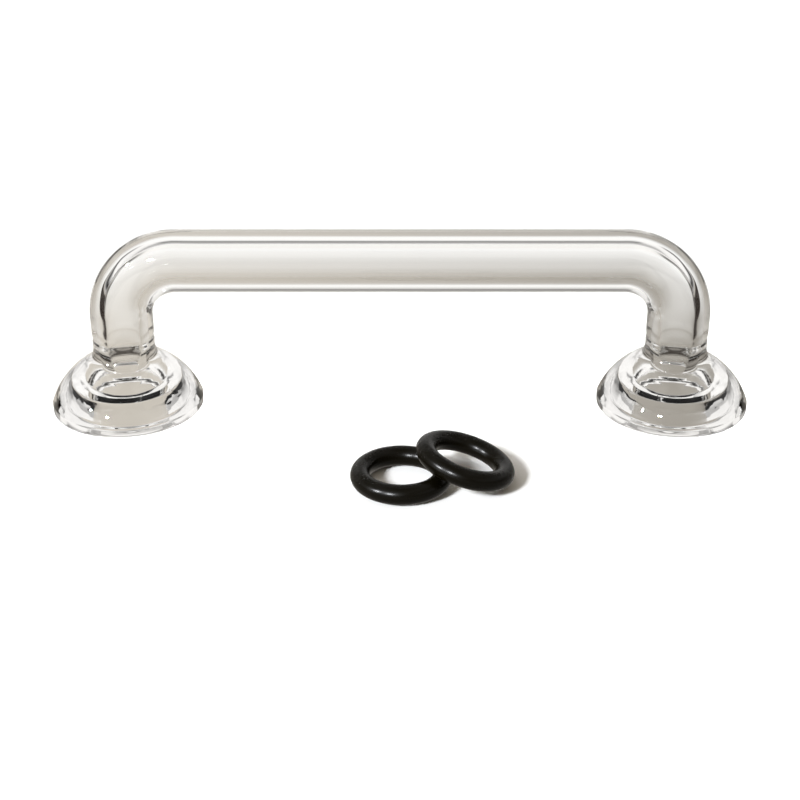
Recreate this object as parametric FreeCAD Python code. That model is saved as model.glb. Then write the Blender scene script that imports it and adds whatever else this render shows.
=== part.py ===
"""Glass bridge tube with two bell-shaped flanges, and the two O-rings that seal it.

A thick-walled clear glass tube is bent twice into a flat-topped bridge. Each leg
ends in a heavy bell-shaped flange. Under the flange a round recess takes the O-ring,
and above it a ball seat leads into the bore. The two O-rings lie in front of the
bridge, one flat on the table and one leaning on it.

Units are millimetres, +Z is up, X runs along the bridge. The origin is on the
table, at the middle of the box around all the pieces.
"""
import FreeCAD, Part
import math
import os

from FreeCAD import Vector

# Bridge tube
TUBE_OD = 13.0
TUBE_BORE = 7.0
CENTRE_DISTANCE = 117.0
AXIS_HEIGHT = 33.3
BEND_RADIUS = 12.0
SEAM_HEIGHT = 16.5

# Bell flange, turned about the leg's axis; the dome's centre lies below the table
RIM_OD = 32.0
RIM_HEIGHT = 2.4
RIM_EDGE_RADIUS = 1.2
DOME_CENTRE_DEPTH = 3.6
NECK_FILLET = 4.0

# Inside of the flange: O-ring recess, sloping shoulder, flat ledge and ball seat
RECESS_DIAMETER = 19.4
RECESS_DEPTH = 4.7
LEDGE_DIAMETER = 16.4
LEDGE_HEIGHT = 5.1
SEAT_MOUTH_DIAMETER = 14.0
SEAT_BALL_DIAMETER = 18.0

# O-rings
RING_BORE = 12.0
RING_CORD = 4.0
RINGS_IN_FRONT = 34.6
FLAT_RING_X = 0.3
LEANING_RING_SHIFT_X = 12.4
LEANING_RING_SHIFT_Y = 1.4
LEANING_RING_TILT = 17.2
LEANING_RING_TURN = 8.0

TUBE_RADIUS = TUBE_OD / 2
BORE_RADIUS = TUBE_BORE / 2
RIM_RADIUS = RIM_OD / 2
LEG_X = CENTRE_DISTANCE / 2
CORD_RADIUS = RING_CORD / 2
RING_RADIUS = RING_BORE / 2 + CORD_RADIUS
RING_OUTER_RADIUS = RING_RADIUS + CORD_RADIUS

# The box around bridge and rings is centred on the origin along Y.
BRIDGE_Y = (RINGS_IN_FRONT + RING_OUTER_RADIUS - RIM_RADIUS) / 2
FLAT_RING_Y = BRIDGE_Y - RINGS_IN_FRONT

Z_AXIS = Vector(0, 0, 1)


def arc(start, middle, end):
    """A circular edge through three points."""
    return Part.Arc(start, middle, end).toShape()


def line(start, end):
    """A straight edge."""
    return Part.makeLine(start, end)


def tube_path():
    """The bridge's centre line: leg, bend, straight top, bend, leg."""
    bend_start = AXIS_HEIGHT - BEND_RADIUS
    bend_end = LEG_X - BEND_RADIUS
    on_arc = BEND_RADIUS * math.cos(math.radians(45))

    def point(x, z):
        return Vector(x, BRIDGE_Y, z)

    left_middle = point(-bend_end - on_arc, bend_start + on_arc)
    right_middle = point(bend_end + on_arc, bend_start + on_arc)
    return Part.Wire([
        line(point(-LEG_X, SEAM_HEIGHT), point(-LEG_X, bend_start)),
        arc(point(-LEG_X, bend_start), left_middle, point(-bend_end, AXIS_HEIGHT)),
        line(point(-bend_end, AXIS_HEIGHT), point(bend_end, AXIS_HEIGHT)),
        arc(point(bend_end, AXIS_HEIGHT), right_middle, point(LEG_X, bend_start)),
        line(point(LEG_X, bend_start), point(LEG_X, SEAM_HEIGHT)),
    ])


def swept_rod(radius):
    """A solid rod of the given radius along the bridge's centre line."""
    start = Vector(-LEG_X, BRIDGE_Y, SEAM_HEIGHT)
    section = Part.Wire([Part.makeCircle(radius, start, Z_AXIS)])
    return tube_path().makePipeShell([section], True, False)


def make_bridge_tube():
    """The bent tube between the two fused seams, with its bore."""
    return swept_rod(TUBE_RADIUS).cut(swept_rod(BORE_RADIUS))


def on_circle(centre, radius, degrees):
    """The point on a circle in the XZ plane, at an angle from +X towards +Z."""
    angle = math.radians(degrees)
    return centre + Vector(radius * math.cos(angle), 0, radius * math.sin(angle))


def direction(start, end):
    """The angle in degrees of the way from start to end in the XZ plane."""
    return math.degrees(math.atan2(end.z - start.z, end.x - start.x))


def arc_about(centre, radius, first, last):
    """An arc in the XZ plane about a centre, between two angles in degrees."""
    return arc(
        on_circle(centre, radius, first),
        on_circle(centre, radius, (first + last) / 2),
        on_circle(centre, radius, last))


def outside_edges():
    """The flange's outside in half section, from the rim's bottom up to the seam."""
    dome_centre = Vector(0, 0, -DOME_CENTRE_DEPTH)
    rim_top = Vector(RIM_RADIUS, 0, RIM_HEIGHT)
    dome_radius = (rim_top - dome_centre).Length

    # The neck fillet touches the dome from outside, and the tube's wall.
    fillet_reach = dome_radius + NECK_FILLET
    fillet_x = TUBE_RADIUS + NECK_FILLET
    fillet_rise = math.sqrt(fillet_reach ** 2 - fillet_x ** 2)
    fillet_centre = dome_centre + Vector(fillet_x, 0, fillet_rise)
    dome_end = direction(dome_centre, fillet_centre)

    edge_centre = Vector(RIM_RADIUS - RIM_EDGE_RADIUS, 0, RIM_EDGE_RADIUS)
    rim_edge = arc_about(edge_centre, RIM_EDGE_RADIUS, -90, 0)
    dome = arc_about(dome_centre, dome_radius, direction(dome_centre, rim_top), dome_end)
    neck = arc_about(fillet_centre, NECK_FILLET, dome_end + 180, 180)
    rim_side = line(Vector(RIM_RADIUS, 0, RIM_EDGE_RADIUS), rim_top)
    wall = line(Vector(TUBE_RADIUS, 0, fillet_centre.z), Vector(TUBE_RADIUS, 0, SEAM_HEIGHT))
    return [rim_edge, rim_side, dome, neck, wall]


def inside_edges():
    """The flange's inside in half section, from the seam down to the rim's bottom."""
    recess_radius = RECESS_DIAMETER / 2
    mouth_radius = SEAT_MOUTH_DIAMETER / 2
    seat_radius = SEAT_BALL_DIAMETER / 2
    seat_drop = math.sqrt(seat_radius ** 2 - mouth_radius ** 2)
    seat_centre = Vector(0, 0, LEDGE_HEIGHT - seat_drop)
    seat_top = seat_centre.z + math.sqrt(seat_radius ** 2 - BORE_RADIUS ** 2)

    bore_start = Vector(BORE_RADIUS, 0, SEAM_HEIGHT)
    bore_end = Vector(BORE_RADIUS, 0, seat_top)
    seat_mouth = Vector(mouth_radius, 0, LEDGE_HEIGHT)
    ledge_end = Vector(LEDGE_DIAMETER / 2, 0, LEDGE_HEIGHT)
    recess_top = Vector(recess_radius, 0, RECESS_DEPTH)
    recess_mouth = Vector(recess_radius, 0, 0)
    rim_bottom = Vector(RIM_RADIUS - RIM_EDGE_RADIUS, 0, 0)
    seat = arc_about(
        seat_centre, seat_radius,
        direction(seat_centre, bore_end), direction(seat_centre, seat_mouth))
    return [
        line(Vector(TUBE_RADIUS, 0, SEAM_HEIGHT), bore_start),
        line(bore_start, bore_end),
        seat,
        line(seat_mouth, ledge_end),
        line(ledge_end, recess_top),
        line(recess_top, recess_mouth),
        line(recess_mouth, rim_bottom),
    ]


def make_flange(x):
    """One bell flange, standing on its rim with its axis at x."""
    profile = Part.Wire(outside_edges() + inside_edges())
    solid = Part.Face(profile).revolve(Vector(0, 0, 0), Z_AXIS, 360)
    solid.translate(Vector(x, BRIDGE_Y, 0))
    return solid


def make_ring(centre, axis):
    """One O-ring about the given centre and axis."""
    return Part.makeTorus(RING_RADIUS, CORD_RADIUS, centre, axis)


def make_flat_ring():
    """The O-ring that lies flat on the table."""
    return make_ring(Vector(FLAT_RING_X, FLAT_RING_Y, CORD_RADIUS), Z_AXIS)


def make_leaning_ring():
    """The O-ring that leans on the flat one, with its lower side on the table."""
    tilt = math.radians(LEANING_RING_TILT)
    turn = math.radians(LEANING_RING_TURN)
    axis = Vector(
        math.sin(tilt) * math.cos(turn),
        math.sin(tilt) * math.sin(turn),
        math.cos(tilt))
    centre = Vector(
        FLAT_RING_X + LEANING_RING_SHIFT_X,
        FLAT_RING_Y + LEANING_RING_SHIFT_Y,
        CORD_RADIUS + RING_RADIUS * math.sin(tilt))
    return make_ring(centre, axis)


def main():
    os.makedirs("parts", exist_ok=True)
    nodes = {
        "bridge_tube": make_bridge_tube(),
        "left_bell_flange": make_flange(-LEG_X),
        "right_bell_flange": make_flange(LEG_X),
        "flat_o_ring": make_flat_ring(),
        "leaning_o_ring": make_leaning_ring(),
    }
    for name, shape in nodes.items():
        shape.exportStep(f"parts/{name}.step")


main()
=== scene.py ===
import math

import bmesh
import bpy
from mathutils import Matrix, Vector, noise


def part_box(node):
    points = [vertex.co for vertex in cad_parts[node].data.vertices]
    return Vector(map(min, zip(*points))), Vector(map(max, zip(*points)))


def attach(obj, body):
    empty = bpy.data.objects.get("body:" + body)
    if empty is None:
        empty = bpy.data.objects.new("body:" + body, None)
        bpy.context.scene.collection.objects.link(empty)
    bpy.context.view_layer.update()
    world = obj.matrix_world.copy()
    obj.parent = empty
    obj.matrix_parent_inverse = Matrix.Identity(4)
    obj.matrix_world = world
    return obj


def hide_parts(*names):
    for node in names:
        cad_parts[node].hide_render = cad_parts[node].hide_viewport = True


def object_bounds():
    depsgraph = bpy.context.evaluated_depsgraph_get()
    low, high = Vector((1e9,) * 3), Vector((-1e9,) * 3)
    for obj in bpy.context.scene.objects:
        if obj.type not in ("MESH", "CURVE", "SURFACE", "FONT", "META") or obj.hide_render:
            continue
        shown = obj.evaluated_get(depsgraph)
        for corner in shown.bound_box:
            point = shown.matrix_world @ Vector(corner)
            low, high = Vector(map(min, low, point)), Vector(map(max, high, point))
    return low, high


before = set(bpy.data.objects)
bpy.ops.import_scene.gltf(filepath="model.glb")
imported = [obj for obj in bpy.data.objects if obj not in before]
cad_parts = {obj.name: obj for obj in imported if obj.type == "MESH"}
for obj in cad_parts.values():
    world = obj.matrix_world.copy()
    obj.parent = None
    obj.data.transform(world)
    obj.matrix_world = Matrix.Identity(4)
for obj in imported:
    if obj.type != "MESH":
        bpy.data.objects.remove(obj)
cad_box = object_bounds()

# Sizes are in metres. The glass is one fused piece, so it is one mesh: the outside
# from rim to rim, then the recess, ball seat and bore back from rim to rim.
MM = 0.001

# Sizes of the glass that the boxes of the CAD nodes don't give
TUBE_BORE = 7.0 * MM
BEND_RADIUS = 12.0 * MM
RIM_HEIGHT = 2.4 * MM
RIM_EDGE_RADIUS = 1.2 * MM
RIM_TOP_ROUNDING = 0.3 * MM
DOME_CENTRE_DEPTH = 3.6 * MM
NECK_FILLET = 4.0 * MM
RECESS_RADIUS = 9.7 * MM
RECESS_DEPTH = 4.7 * MM
RECESS_ROUNDING = 0.35 * MM
LEDGE_RADIUS = 8.2 * MM
LEDGE_HEIGHT = 5.1 * MM
SEAT_MOUTH_RADIUS = 7.0 * MM
SEAT_BALL_RADIUS = 9.0 * MM
SEAT_ROUNDING = 0.3 * MM

# Marks of the lampworker's flame: a groove at each seam, ripples in the neck below it
# and in the recess, a crumpled knot in each bend's inner side, ripples of the bore in
# the bends and legs, and slow waves along the tube. The knot's place is in tube radii
# from the leg's axis, and the bore's ripples start this many bend radii before a leg.
SEAM_WIDTH = 0.45 * MM
SEAM_GROOVE = 0.16 * MM
NECK_RIPPLE = 0.10 * MM
NECK_RIPPLE_LENGTH = 3.2 * MM
NECK_REACH = 3.0 * MM
RECESS_RIPPLE = 0.08 * MM
RECESS_RIPPLE_LENGTH = 2.0 * MM
KNOT_DEPTH = 0.55 * MM
KNOT_SIZE = 2.0 * MM
KNOT_WAVE = 1.4 * MM
KNOT_INWARD = 0.85
KNOT_FORWARD = 0.5
BORE_RIPPLE = 0.07 * MM
BORE_RIPPLE_LENGTH = 4.5 * MM
BORE_RIPPLE_START = 1.5
WAVE_DEPTH = 0.03 * MM
WAVE_LENGTH = 14.0 * MM

# Mesh steps
PROFILE_STEP = 0.25 * MM
TUBE_STEP = 1.0 * MM
ROUND_STEPS = 192
BEND_STEPS = 72
ARC_STEP_DEGREES = 4.0

# O-rings
RING_STEPS = 224
CORD_STEPS = 96
FLASH_HEIGHT = 0.035 * MM
FLASH_WIDTH_DEGREES = 4.0

# Camera, against the bridge's plane
CAMERA_DISTANCE = 0.2775
CAMERA_HEIGHT = 0.135
CAMERA_PITCH = math.radians(25.71)
CAMERA_LENS = 64.125
CAMERA_SENSOR = 36.0
CAMERA_NEAR = 0.01

# How often light may bend or bounce inside the glass
LIGHT_BOUNCES = 32

tube_low, tube_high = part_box("bridge_tube")
flange_low, flange_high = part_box("right_bell_flange")
TUBE_RADIUS = (tube_high.y - tube_low.y) / 2
BORE_RADIUS = TUBE_BORE / 2
BRIDGE_Y = (tube_high.y + tube_low.y) / 2
AXIS_HEIGHT = tube_high.z - TUBE_RADIUS
SEAM_HEIGHT = tube_low.z
LEG_X = tube_high.x - TUBE_RADIUS
RIM_RADIUS = flange_high.x - LEG_X


# ---------------------------------------------------------------- glass profile

def arc(centre, radius, first, last):
    """Points of an arc in the half section, between two angles in degrees."""
    steps = max(2, math.ceil(abs(last - first) / ARC_STEP_DEGREES))
    angles = [math.radians(first + (last - first) * i / steps) for i in range(steps + 1)]
    return [centre + radius * Vector((math.cos(a), math.sin(a))) for a in angles]


def direction(start, end):
    """The angle in degrees of the way from start to end."""
    return math.degrees(math.atan2(end.y - start.y, end.x - start.x))


def rounded(before, corner, after, radius):
    """Points that round the corner between two neighbouring points."""
    back = (before - corner).normalized()
    ahead = (after - corner).normalized()
    half = back.angle(ahead) / 2
    reach = radius / math.tan(half)
    centre = corner + (back + ahead).normalized() * (radius / math.sin(half))
    first = direction(centre, corner + back * reach)
    last = direction(centre, corner + ahead * reach)
    turn = (last - first + 180) % 360 - 180
    return arc(centre, radius, first, first + turn)


def divided(points, step):
    """The same line with points added, so that none are further apart than step."""
    result = [points[0]]
    for start, end in zip(points, points[1:]):
        pieces = max(1, math.ceil((end - start).length / step))
        result += [start.lerp(end, i / pieces) for i in range(1, pieces + 1)]
    return result


def outside_profile():
    """(radius, height) points from the rim's bottom up to the seam."""
    dome_centre = Vector((0, -DOME_CENTRE_DEPTH))
    rim_top = Vector((RIM_RADIUS, RIM_HEIGHT))
    dome_radius = (rim_top - dome_centre).length

    # The neck fillet touches the dome from outside, and the tube's wall.
    fillet_x = TUBE_RADIUS + NECK_FILLET
    fillet_rise = math.sqrt((dome_radius + NECK_FILLET) ** 2 - fillet_x ** 2)
    fillet_centre = dome_centre + Vector((fillet_x, fillet_rise))
    dome_end = direction(dome_centre, fillet_centre)

    edge_centre = Vector((RIM_RADIUS - RIM_EDGE_RADIUS, RIM_EDGE_RADIUS))
    dome = arc(dome_centre, dome_radius, direction(dome_centre, rim_top), dome_end)
    points = arc(edge_centre, RIM_EDGE_RADIUS, -90, 0)
    points += rounded(points[-1], rim_top, dome[1], RIM_TOP_ROUNDING)
    points += dome[1:]
    points += arc(fillet_centre, NECK_FILLET, dome_end + 180, 180)[1:]
    points.append(Vector((TUBE_RADIUS, SEAM_HEIGHT)))
    return divided(points, PROFILE_STEP)


def inside_profile():
    """(radius, height) points from the seam down the bore, seat and recess to the rim."""
    seat_drop = math.sqrt(SEAT_BALL_RADIUS ** 2 - SEAT_MOUTH_RADIUS ** 2)
    seat_centre = Vector((0, LEDGE_HEIGHT - seat_drop))
    seat_rise = math.sqrt(SEAT_BALL_RADIUS ** 2 - BORE_RADIUS ** 2)
    bore_end = seat_centre + Vector((BORE_RADIUS, seat_rise))
    seat_mouth = Vector((SEAT_MOUTH_RADIUS, LEDGE_HEIGHT))
    ledge_end = Vector((LEDGE_RADIUS, LEDGE_HEIGHT))
    recess_top = Vector((RECESS_RADIUS, RECESS_DEPTH))
    recess_mouth = Vector((RECESS_RADIUS, 0))
    rim_bottom = Vector((RIM_RADIUS - RIM_EDGE_RADIUS, 0))
    bore_start = Vector((BORE_RADIUS, SEAM_HEIGHT))
    seat = arc(
        seat_centre, SEAT_BALL_RADIUS,
        direction(seat_centre, bore_end), direction(seat_centre, seat_mouth))
    points = [bore_start]
    points += rounded(bore_start, bore_end, seat[1], SEAT_ROUNDING)
    points += seat[1:-1]
    points += rounded(seat[-2], seat_mouth, ledge_end, SEAT_ROUNDING)
    points += rounded(seat_mouth, ledge_end, recess_top, SEAT_ROUNDING)
    points += rounded(ledge_end, recess_top, recess_mouth, RECESS_ROUNDING)
    points += rounded(recess_top, recess_mouth, rim_bottom, RECESS_ROUNDING)
    return divided(points, PROFILE_STEP)


# ------------------------------------------------------------------- glass mesh

def flange_stations(profile, side):
    """Rings of the mesh on one leg: centre, the outward way in the plane, radius."""
    outward = Vector((side, 0, 0))
    return [(Vector((side * LEG_X, BRIDGE_Y, p.y)), outward, p.x) for p in profile]


def tube_stations(radius):
    """Rings of the mesh between the two seams, from left to right."""
    bend_z = AXIS_HEIGHT - BEND_RADIUS
    bend_x = LEG_X - BEND_RADIUS

    def leg(side, start, end):
        steps = math.ceil(abs(end - start) / TUBE_STEP)
        heights = [start + (end - start) * i / steps for i in range(1, steps)]
        outward = Vector((side, 0, 0))
        return [(Vector((side * LEG_X, BRIDGE_Y, z)), outward, radius) for z in heights]

    def bend(side, first, last):
        centre = Vector((side * bend_x, BRIDGE_Y, bend_z))
        result = []
        for i in range(BEND_STEPS + 1):
            angle = math.radians(first + (last - first) * i / BEND_STEPS)
            outward = Vector((math.cos(angle), 0, math.sin(angle)))
            result.append((centre + BEND_RADIUS * outward, outward, radius))
        return result

    steps = math.ceil(2 * bend_x / TUBE_STEP)
    places = [bend_x * (2 * i / steps - 1) for i in range(1, steps)]
    top = [(Vector((x, BRIDGE_Y, AXIS_HEIGHT)), Vector((0, 0, 1)), radius) for x in places]
    return (
        leg(-1, SEAM_HEIGHT, bend_z) + bend(-1, 180, 90) + top
        + bend(1, 90, 0) + leg(1, bend_z, SEAM_HEIGHT))


def unevenness(point, length):
    """Smooth noise from 0 to 1, with swells of about this length."""
    return (1 + noise.noise(point / length)) / 2


def bell(distance, width):
    """1 at no distance, falling smoothly to nothing beyond the width."""
    return math.exp(-(distance / width) ** 2)


def outside_marks(point, radius):
    """How far the flame left the outside of the tube and neck below its nominal radius."""
    if radius > TUBE_RADIUS + NECK_FILLET / 2:
        return 0.0
    below_seam = SEAM_HEIGHT - point.z
    knot = Vector((
        math.copysign(LEG_X - KNOT_INWARD * TUBE_RADIUS, point.x),
        BRIDGE_Y - KNOT_FORWARD * TUBE_RADIUS,
        AXIS_HEIGHT - BEND_RADIUS + KNOT_SIZE))
    wave = WAVE_DEPTH * unevenness(point, WAVE_LENGTH)
    groove = SEAM_GROOVE * bell(below_seam, SEAM_WIDTH)
    in_neck = bell(below_seam - NECK_REACH, NECK_REACH)
    ripple = NECK_RIPPLE * in_neck * unevenness(point, NECK_RIPPLE_LENGTH)
    in_knot = bell((point - knot).length, KNOT_SIZE)
    crumple = KNOT_DEPTH * in_knot * unevenness(point, KNOT_WAVE)
    return wave + groove + ripple + crumple


def inside_marks(point, radius):
    """Ripples of the bore and seat, and of the ledge and the upper recess wall."""
    if radius < SEAT_MOUTH_RADIUS:
        past_start = (abs(point.x) - LEG_X) / BEND_RADIUS + BORE_RIPPLE_START
        in_bend = min(1.0, max(0.0, past_start))
        return BORE_RIPPLE * in_bend * noise.noise(point / BORE_RIPPLE_LENGTH)
    if point.z < RECESS_DEPTH / 2:
        return 0.0
    return RECESS_RIPPLE * noise.noise(point / RECESS_RIPPLE_LENGTH)


def make_glass():
    """The fused bridge as one closed mesh."""
    outside = outside_profile()
    inside = inside_profile()
    outer = (
        flange_stations(outside, -1) + tube_stations(TUBE_RADIUS)
        + flange_stations(reversed(outside), 1))
    inner = (
        flange_stations(reversed(inside), 1) + list(reversed(tube_stations(BORE_RADIUS)))
        + flange_stations(inside, -1))
    depth = Vector((0, 1, 0))
    vertices = []
    for stations, marks in ((outer, outside_marks), (inner, inside_marks)):
        for centre, outward, radius in stations:
            for k in range(ROUND_STEPS):
                angle = 2 * math.pi * k / ROUND_STEPS
                way = math.cos(angle) * outward + math.sin(angle) * depth
                point = centre + radius * way
                vertices.append(point - marks(point, radius) * way)
    return lofted("glass_bridge", vertices, len(outer) + len(inner), ROUND_STEPS)


def lofted(name, vertices, rings, steps):
    """A closed mesh of rings of vertices, each joined to the next and the last to the first."""
    faces = []
    for i in range(rings):
        here = i * steps
        there = (i + 1) % rings * steps
        for k in range(steps):
            after = (k + 1) % steps
            faces.append((here + k, here + after, there + after, there + k))
    mesh = bpy.data.meshes.new(name)
    mesh.from_pydata(vertices, [], faces)
    work = bmesh.new()
    work.from_mesh(mesh)
    bmesh.ops.recalc_face_normals(work, faces=work.faces)
    work.to_mesh(mesh)
    work.free()
    mesh.shade_smooth()
    piece = bpy.data.objects.new(name, mesh)
    bpy.context.scene.collection.objects.link(piece)
    return piece


# ---------------------------------------------------------------------- O-rings

def ring_axes(node):
    """Centre, axis and radii of a CAD ring, from its vertices and its box."""
    points = [vertex.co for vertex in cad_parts[node].data.vertices]
    low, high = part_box(node)
    centre = (low + high) / 2
    farthest = max(points, key=lambda p: (p - centre).length)
    outer = (farthest - centre).length
    inner = min((p - centre).length for p in points)
    cord = (outer - inner) / 2

    # How wide the box is along X and Y fixes how far the axis leans, towards +X and +Y.
    lean_x = axis_lean((high.x - low.x) / 2, outer - cord, cord)
    lean_y = axis_lean((high.y - low.y) / 2, outer - cord, cord)
    axis = Vector((lean_x, lean_y, math.sqrt(1 - lean_x ** 2 - lean_y ** 2)))
    return centre, axis, outer - cord, cord


def axis_lean(half_width, ring_radius, cord_radius):
    """A ring's axis component along a direction in which its box is this wide."""
    share = min(1.0, (half_width - cord_radius) / ring_radius)
    return math.sqrt(1 - share ** 2)


def make_ring(name, node):
    """A moulded O-ring with the fine flash line that its two mould halves leave."""
    centre, axis, ring_radius, cord_radius = ring_axes(node)
    across = axis.orthogonal().normalized()
    along = axis.cross(across)
    vertices = []
    for i in range(RING_STEPS):
        turn = 2 * math.pi * i / RING_STEPS
        outward = math.cos(turn) * across + math.sin(turn) * along
        for k in range(CORD_STEPS):
            angle = 2 * math.pi * k / CORD_STEPS
            off = abs((math.degrees(angle) + 90) % 180 - 90)
            flash = FLASH_HEIGHT * (bell(off, FLASH_WIDTH_DEGREES) - 1)
            way = math.cos(angle) * outward + math.sin(angle) * axis
            vertices.append(centre + ring_radius * outward + (cord_radius + flash) * way)
    return lofted(name, vertices, RING_STEPS, CORD_STEPS)


# -------------------------------------------------------------------- materials

# Noise scales are in swells per metre. Roughness and tones run from low to high.
GLASS_COLOUR = (0.992, 0.99, 0.984, 1)
GLASS_IOR = 1.47
GLASS_ROUGHNESS = (0.0, 0.02)
SMUDGE_SCALE = 90.0
SURFACE_SCALE = 120.0
SURFACE_BUMP = 0.15
SURFACE_DEPTH = 0.1 * MM
RUBBER_GREYS = (0.025, 0.045)
RUBBER_WARMTHS = (0.02, 0.03)
RUBBER_ROUGHNESS = (0.24, 0.30)
RUBBER_SPECULAR = 0.09
CLOUD_SCALE = 350.0
GRAIN_SCALE = 2600.0
GRAIN_BUMP = 0.25
GRAIN_DEPTH = 0.03 * MM


def linear(grey):
    """An sRGB screen brightness from 0 to 1 as linear light."""
    return grey / 12.92 if grey <= 0.04045 else ((grey + 0.055) / 1.055) ** 2.4


def tone(grey, warmth):
    """A linear colour from a screen brightness, yellower by warmth."""
    return (linear(grey), linear(grey - warmth / 3), linear(grey - warmth), 1)


def new_material(name):
    material = bpy.data.materials.new(name)
    material.use_nodes = True
    nodes = material.node_tree.nodes
    return material, nodes, material.node_tree.links, nodes["Principled BSDF"]


def add_node(nodes, kind, **settings):
    node = nodes.new(kind)
    for key, value in settings.items():
        setattr(node, key, value)
    return node


def add_noise(nodes, links, place, scale, detail):
    texture = add_node(nodes, "ShaderNodeTexNoise")
    texture.inputs["Scale"].default_value = scale
    texture.inputs["Detail"].default_value = detail
    links.new(place, texture.inputs["Vector"])
    return texture.outputs["Fac"]


def add_range(nodes, links, value, low, high):
    """Maps a value from 0 to 1 on to low to high."""
    node = add_node(nodes, "ShaderNodeMapRange")
    node.inputs["To Min"].default_value = low
    node.inputs["To Max"].default_value = high
    links.new(value, node.inputs["Value"])
    return node.outputs["Result"]


def add_bump(nodes, links, shader, height, strength, depth):
    """Bumps of the given depth in metres on a shader, from a height of 0 to 1."""
    bump = add_node(nodes, "ShaderNodeBump")
    bump.inputs["Strength"].default_value = strength
    bump.inputs["Distance"].default_value = depth
    links.new(height, bump.inputs["Height"])
    links.new(bump.outputs["Normal"], shader.inputs["Normal"])


def glass_material():
    """Clear borosilicate glass with a faintly uneven surface and handling marks."""
    material, nodes, links, shader = new_material("clear_borosilicate")
    shader.inputs["Base Color"].default_value = GLASS_COLOUR
    shader.inputs["Transmission Weight"].default_value = 1.0
    shader.inputs["IOR"].default_value = GLASS_IOR
    place = add_node(nodes, "ShaderNodeNewGeometry").outputs["Position"]
    smudge = add_noise(nodes, links, place, SMUDGE_SCALE, detail=3)
    links.new(add_range(nodes, links, smudge, *GLASS_ROUGHNESS), shader.inputs["Roughness"])
    surface = add_noise(nodes, links, place, SURFACE_SCALE, detail=2)
    add_bump(nodes, links, shader, surface, SURFACE_BUMP, SURFACE_DEPTH)
    return material


def rubber_material():
    """Warm black nitrile rubber with a satin moulded skin."""
    material, nodes, links, shader = new_material("black_nitrile")
    place = add_node(nodes, "ShaderNodeTexCoord").outputs["Object"]
    cloud = add_noise(nodes, links, place, CLOUD_SCALE, detail=4)
    ramp = add_node(nodes, "ShaderNodeValToRGB")
    for element, grey, warmth in zip(ramp.color_ramp.elements, RUBBER_GREYS, RUBBER_WARMTHS):
        element.color = tone(grey, warmth)
    links.new(cloud, ramp.inputs["Fac"])
    links.new(ramp.outputs["Color"], shader.inputs["Base Color"])
    links.new(add_range(nodes, links, cloud, *RUBBER_ROUGHNESS), shader.inputs["Roughness"])
    shader.inputs["Specular IOR Level"].default_value = RUBBER_SPECULAR
    grain = add_noise(nodes, links, place, GRAIN_SCALE, detail=3)
    add_bump(nodes, links, shader, grain, GRAIN_BUMP, GRAIN_DEPTH)
    return material


# ----------------------------------------------------------------- stage, light

# Linear brightness of the studio by elevation in degrees. Behind: white walls, then a
# dark gap and a soft box over them. Beside: the same with a paler gap, over a dark
# strip near the horizon. In front is the dimmer room. The regions start this many
# degrees from straight behind.
BEHIND = [
    (0, 1.05), (22, 1.05), (30, 0.66), (36, 0.16), (42, 0.33), (48, 0.48),
    (55, 0.97), (66, 1.00), (73, 0.56), (86, 0.27)]
BESIDE = [
    (0, 0.50), (4, 0.02), (6.5, 0.02), (12, 1.00), (22, 1.00), (31, 0.90), (37, 0.46),
    (48, 0.52), (55, 0.93), (66, 1.00), (73, 0.56), (86, 0.27)]
ROOM = [(0, 0.20), (20, 0.30), (50, 0.50), (86, 0.27)]
BESIDE_START_DEGREES = 24
ROOM_START_DEGREES = 150
BESIDE_SOFTNESS_DEGREES = 4
ROOM_SOFTNESS_DEGREES = 12
STUDIO_TINT = (1.0, 0.985, 0.965)
SEEN_WHITE = (1.0, 1.0, 1.0, 1)

# The table: a white card with painted shade under the bridge, lighter to the left, a
# painted shadow where the rims stand on it, and dark beyond its two ends. The card is
# longer farther from the bridge, and far to each side the table is grey. This painted
# glow shows only through the glass and in what the rubber reflects; the camera sees
# plain white.
FLOOR_SIZE = 6.0
FLOOR_GAP = 0.03 * MM
SEEN_TABLE = (0.93, 0.93, 0.92, 1)
# The dark table beyond the card's ends, also the colour of the painted shadow under the rims
DARK_TABLE_AND_RIM_SHADOW = (0.02, 0.013, 0.009, 1)
CARD = (1.06, 1.06, 1.05, 1)
CARD_HALF_LENGTH = 0.098
CARD_FLARE = 0.55
CARD_SOFTNESS = 0.008
GREY_TABLE = (0.45, 0.42, 0.38, 1)
GREY_START = 0.50
GREY_SOFTNESS = 0.10

# The shade on the card, and how far it has faded at shares of its reach
SHADE_TINT = (1.0, 0.93, 0.82)
SHADE_LEFT = 0.66
SHADE_RIGHT = 0.33
SHADE_REACH = 0.32
SHADE_FADE = [
    (0.03, 0.0), (0.08, 0.07), (0.125, 0.22), (0.19, 0.40), (0.31, 0.63), (0.5, 0.80),
    (1.0, 1.0)]

# The painted shadow under a rim: half its width, and how far it comes in past the leg's axis
RIM_SHADOW_REACH = 1.4 * MM
RIM_SHADOW_SPAN = 10.0 * MM
RIM_SHADOW_SOFTNESS = 0.7 * MM

# Matt surfaces see the studio dimmed by this much, besides the lamps.
STUDIO_ON_MATT = (0.45, 0.40, 0.33, 1)
LAMP_COLOUR = (0.94, 0.965, 1.0)


def tinted(tint, brightness):
    """The tint at a brightness, as an opaque colour."""
    return tuple(channel * brightness for channel in tint) + (1,)


def maths(nodes, links, operation, *values):
    """A math node on sockets or plain numbers."""
    node = add_node(nodes, "ShaderNodeMath", operation=operation)
    for socket, value in zip(node.inputs, values):
        if isinstance(value, (int, float)):
            socket.default_value = value
        else:
            links.new(value, socket)
    return node.outputs[0]


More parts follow.
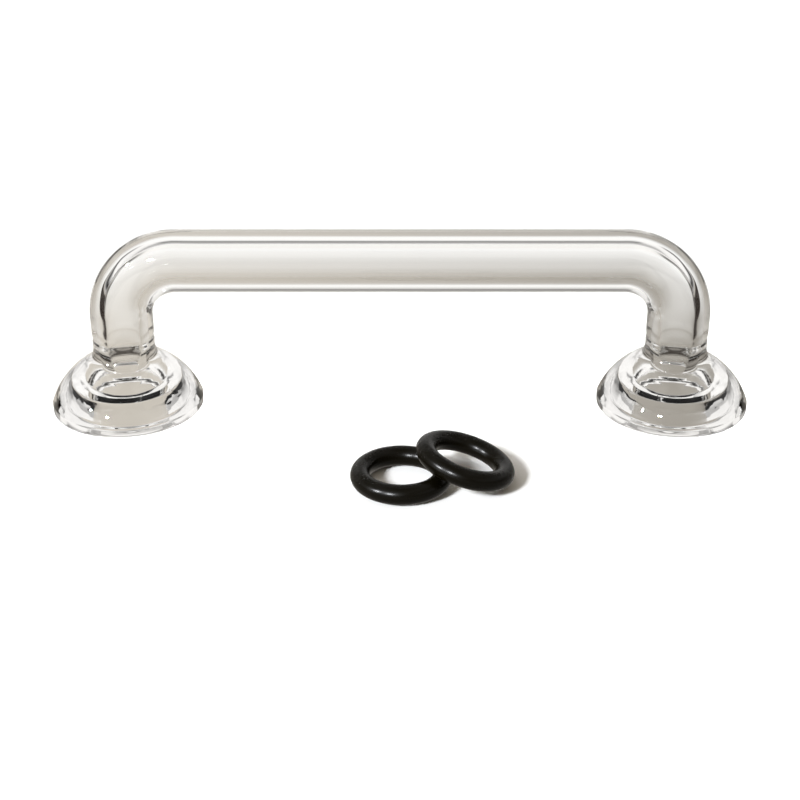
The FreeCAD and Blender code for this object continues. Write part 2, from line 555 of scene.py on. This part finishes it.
def fade(nodes, links, value, middle, half_width):
    """0 below the middle, 1 above it, with a smooth step between."""
    node = add_node(nodes, "ShaderNodeMapRange", interpolation_type="SMOOTHSTEP")
    node.inputs["From Min"].default_value = middle - half_width
    node.inputs["From Max"].default_value = middle + half_width
    links.new(value, node.inputs["Value"])
    return node.outputs["Result"]


def mixed(nodes, links, factor, first, second):
    """Blends two colours, given as sockets or as plain colours."""
    node = add_node(nodes, "ShaderNodeMix", data_type="RGBA")
    links.new(factor, node.inputs["Factor"])
    for name, colour in (("A", first), ("B", second)):
        if isinstance(colour, tuple):
            node.inputs[name].default_value = colour
        else:
            links.new(colour, node.inputs[name])
    return node.outputs["Result"]


def colour_ramp(nodes, links, place, stops, tint):
    """A ramp of one tint from (place, brightness) stops."""
    ramp = add_node(nodes, "ShaderNodeValToRGB")
    elements = ramp.color_ramp.elements
    elements.remove(elements[-1])
    for i, (where, brightness) in enumerate(stops):
        element = elements[0] if i == 0 else elements.new(where)
        element.position = where
        element.color = tinted(tint, brightness)
    links.new(place, ramp.inputs["Fac"])
    return ramp.outputs["Color"]


def sky_ramp(nodes, links, height, stops):
    """A studio ramp by height, 0 at the horizon and 1 overhead, from stops in degrees."""
    places = [(elevation / 90, brightness) for elevation, brightness in stops]
    return colour_ramp(nodes, links, height, places, STUDIO_TINT)


def split_by_camera(nodes, links, seen_in_glass, seen_directly, output):
    """Shows one shader straight to the camera and the other through glass and in gloss."""
    mix = add_node(nodes, "ShaderNodeMixShader")
    path = add_node(nodes, "ShaderNodeLightPath")
    links.new(path.outputs["Is Camera Ray"], mix.inputs["Fac"])
    links.new(seen_in_glass.outputs[0], mix.inputs[1])
    links.new(seen_directly.outputs[0], mix.inputs[2])
    links.new(mix.outputs[0], output.inputs["Surface"])


def make_world():
    """The studio around the table; the camera itself sees plain white."""
    world = bpy.data.worlds.new("studio")
    bpy.context.scene.world = world
    world.use_nodes = True
    nodes, links = world.node_tree.nodes, world.node_tree.links
    way = add_node(nodes, "ShaderNodeSeparateXYZ")
    links.new(add_node(nodes, "ShaderNodeTexCoord").outputs["Generated"], way.inputs[0])
    rise = maths(nodes, links, "ARCSINE", way.outputs["Z"])
    height = maths(nodes, links, "DIVIDE", rise, math.pi / 2)
    turn = maths(nodes, links, "ARCTAN2", way.outputs["X"], way.outputs["Y"])
    aside = maths(nodes, links, "ABSOLUTE", turn)

    behind = sky_ramp(nodes, links, height, BEHIND)
    beside = sky_ramp(nodes, links, height, BESIDE)
    room = sky_ramp(nodes, links, height, ROOM)
    at_side = fade(
        nodes, links, aside,
        math.radians(BESIDE_START_DEGREES), math.radians(BESIDE_SOFTNESS_DEGREES))
    in_room = fade(
        nodes, links, aside,
        math.radians(ROOM_START_DEGREES), math.radians(ROOM_SOFTNESS_DEGREES))
    walls = mixed(nodes, links, at_side, behind, beside)
    around = mixed(nodes, links, in_room, walls, room)

    dimmed = add_node(nodes, "ShaderNodeMix", data_type="RGBA", blend_type="MULTIPLY")
    path = add_node(nodes, "ShaderNodeLightPath")
    links.new(path.outputs["Is Diffuse Ray"], dimmed.inputs["Factor"])
    links.new(around, dimmed.inputs["A"])
    dimmed.inputs["B"].default_value = STUDIO_ON_MATT
    studio = nodes["Background"]
    links.new(dimmed.outputs["Result"], studio.inputs["Color"])
    white = add_node(nodes, "ShaderNodeBackground")
    white.inputs["Color"].default_value = SEEN_WHITE
    split_by_camera(nodes, links, studio, white, nodes["World Output"])


def card_colour(nodes, links, x, away):
    """The white card, shaded under the bridge and more so to the right."""
    reach = maths(nodes, links, "DIVIDE", away, SHADE_REACH)
    clear = colour_ramp(nodes, links, reach, SHADE_FADE, (1.0, 1.0, 1.0))
    rightward = fade(nodes, links, x, 0, 2 * LEG_X)
    left = tinted(SHADE_TINT, SHADE_LEFT)
    right = tinted(SHADE_TINT, SHADE_RIGHT)
    return mixed(nodes, links, clear, mixed(nodes, links, rightward, left, right), CARD)


def painted_rim_shadow(nodes, links, aside, away):
    """Painted shadow: 1 under a rim's edge and 0 elsewhere, also 0 at the edge's inmost part.
    """
    from_leg = maths(nodes, links, "SUBTRACT", aside, LEG_X)
    away_square = maths(nodes, links, "MULTIPLY", away, away)
    square = maths(nodes, links, "MULTIPLY_ADD", from_leg, from_leg, away_square)
    past_rim = maths(nodes, links, "SUBTRACT", maths(nodes, links, "SQRT", square), RIM_RADIUS)
    off_rim = maths(nodes, links, "ABSOLUTE", past_rim)
    clear = fade(nodes, links, off_rim, RIM_SHADOW_REACH, RIM_SHADOW_SOFTNESS)
    outer = fade(nodes, links, from_leg, -RIM_SHADOW_SPAN, RIM_SHADOW_SOFTNESS)
    return maths(nodes, links, "MULTIPLY", outer, maths(nodes, links, "SUBTRACT", 1, clear))


def floor_material():
    """The table: plain white to the camera; in the glass a card with painted shade and painted
    rim shadows, and dark ends.
    """
    material, nodes, links, paint = new_material("white_table")
    paint.inputs["Base Color"].default_value = SEEN_TABLE
    paint.inputs["Roughness"].default_value = 1.0
    paint.inputs["Specular IOR Level"].default_value = 0.0
    place = add_node(nodes, "ShaderNodeSeparateXYZ")
    links.new(add_node(nodes, "ShaderNodeNewGeometry").outputs["Position"], place.inputs[0])
    x, y = place.outputs["X"], place.outputs["Y"]
    aside = maths(nodes, links, "ABSOLUTE", x)
    away = maths(nodes, links, "ABSOLUTE", maths(nodes, links, "SUBTRACT", y, BRIDGE_Y))

    # A painted shadow on the card under the outer side of each rim, in the dark table colour.
    rim_shadow = painted_rim_shadow(nodes, links, aside, away)
    card = mixed(nodes, links, rim_shadow, card_colour(nodes, links, x, away), DARK_TABLE_AND_RIM_SHADOW)
    flare = maths(nodes, links, "MULTIPLY", away, CARD_FLARE)
    past_card = maths(nodes, links, "SUBTRACT", aside, flare)
    off_card = fade(nodes, links, past_card, CARD_HALF_LENGTH, CARD_SOFTNESS)
    far = fade(nodes, links, aside, GREY_START, GREY_SOFTNESS)
    beyond = mixed(nodes, links, far, DARK_TABLE_AND_RIM_SHADOW, GREY_TABLE)
    # Through the glass and in the rubber the table glows with this painted colour: painted
    # shade, painted rim shadows and the table beyond.
    painted_table_glow = add_node(nodes, "ShaderNodeEmission")
    links.new(mixed(nodes, links, off_card, card, beyond), painted_table_glow.inputs["Color"])
    split_by_camera(nodes, links, painted_table_glow, paint, nodes["Material Output"])
    return material


def make_floor():
    half = FLOOR_SIZE / 2
    z = cad_box[0].z - FLOOR_GAP
    mesh = bpy.data.meshes.new("table")
    corners = [(-half, -half, z), (half, -half, z), (half, half, z), (-half, half, z)]
    mesh.from_pydata(corners, [], [(0, 1, 2, 3)])
    mesh.materials.append(floor_material())
    floor = bpy.data.objects.new("table", mesh)
    bpy.context.scene.collection.objects.link(floor)


def add_lamp(name, azimuth, elevation, width, strength, for_glints):
    """A distant lamp, for glints only or for matt surfaces only.

    Its angles are in degrees, and its azimuth is from -Y towards +X.
    """
    a, e = math.radians(azimuth), math.radians(elevation)
    way = Vector((math.sin(a) * math.cos(e), -math.cos(a) * math.cos(e), math.sin(e)))
    light = bpy.data.lights.new(name, "SUN")
    light.energy = strength
    light.angle = math.radians(width)
    light.color = LAMP_COLOUR
    lamp = bpy.data.objects.new(name, light)
    lamp.rotation_euler = (-way).to_track_quat("-Z", "Y").to_euler()
    lamp.visible_diffuse = not for_glints
    lamp.visible_glossy = for_glints
    lamp.visible_transmission = for_glints
    bpy.context.scene.collection.objects.link(lamp)


def make_camera():
    data = bpy.data.cameras.new("camera")
    data.sensor_width = CAMERA_SENSOR
    data.lens = CAMERA_LENS
    data.clip_start = CAMERA_NEAR
    camera = bpy.data.objects.new("camera", data)
    camera.location = (0, BRIDGE_Y - CAMERA_DISTANCE, CAMERA_HEIGHT)
    camera.rotation_euler = (math.pi / 2 - CAMERA_PITCH, 0, 0)
    bpy.context.scene.collection.objects.link(camera)
    bpy.context.scene.camera = camera


def make_pieces():
    glass = make_glass()
    glass.data.materials.append(glass_material())
    glass.visible_shadow = False
    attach(glass, "bridge")
    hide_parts("bridge_tube", "left_bell_flange", "right_bell_flange")
    rubber = rubber_material()
    for name, node, body in (
            ("flat_rubber_ring", "flat_o_ring", "flat_ring"),
            ("leaning_rubber_ring", "leaning_o_ring", "leaning_ring")):
        ring = make_ring(name, node)
        ring.data.materials.append(rubber)
        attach(ring, body)
        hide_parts(node)


def set_up_scene():
    scene = bpy.context.scene
    scene.view_settings.view_transform = "Standard"
    scene.cycles.max_bounces = LIGHT_BOUNCES
    scene.cycles.transmission_bounces = LIGHT_BOUNCES


set_up_scene()
make_camera()
make_pieces()
make_floor()
make_world()

# A wide lamp on the left lights the matt surfaces. Two small ones only make glints.
add_lamp("shadow_lamp", azimuth=-46, elevation=33, width=12, strength=5.5, for_glints=False)
add_lamp("outer_glint", azimuth=-58, elevation=29, width=4, strength=8, for_glints=True)
add_lamp("inner_glint", azimuth=-27, elevation=29, width=4, strength=8, for_glints=True)
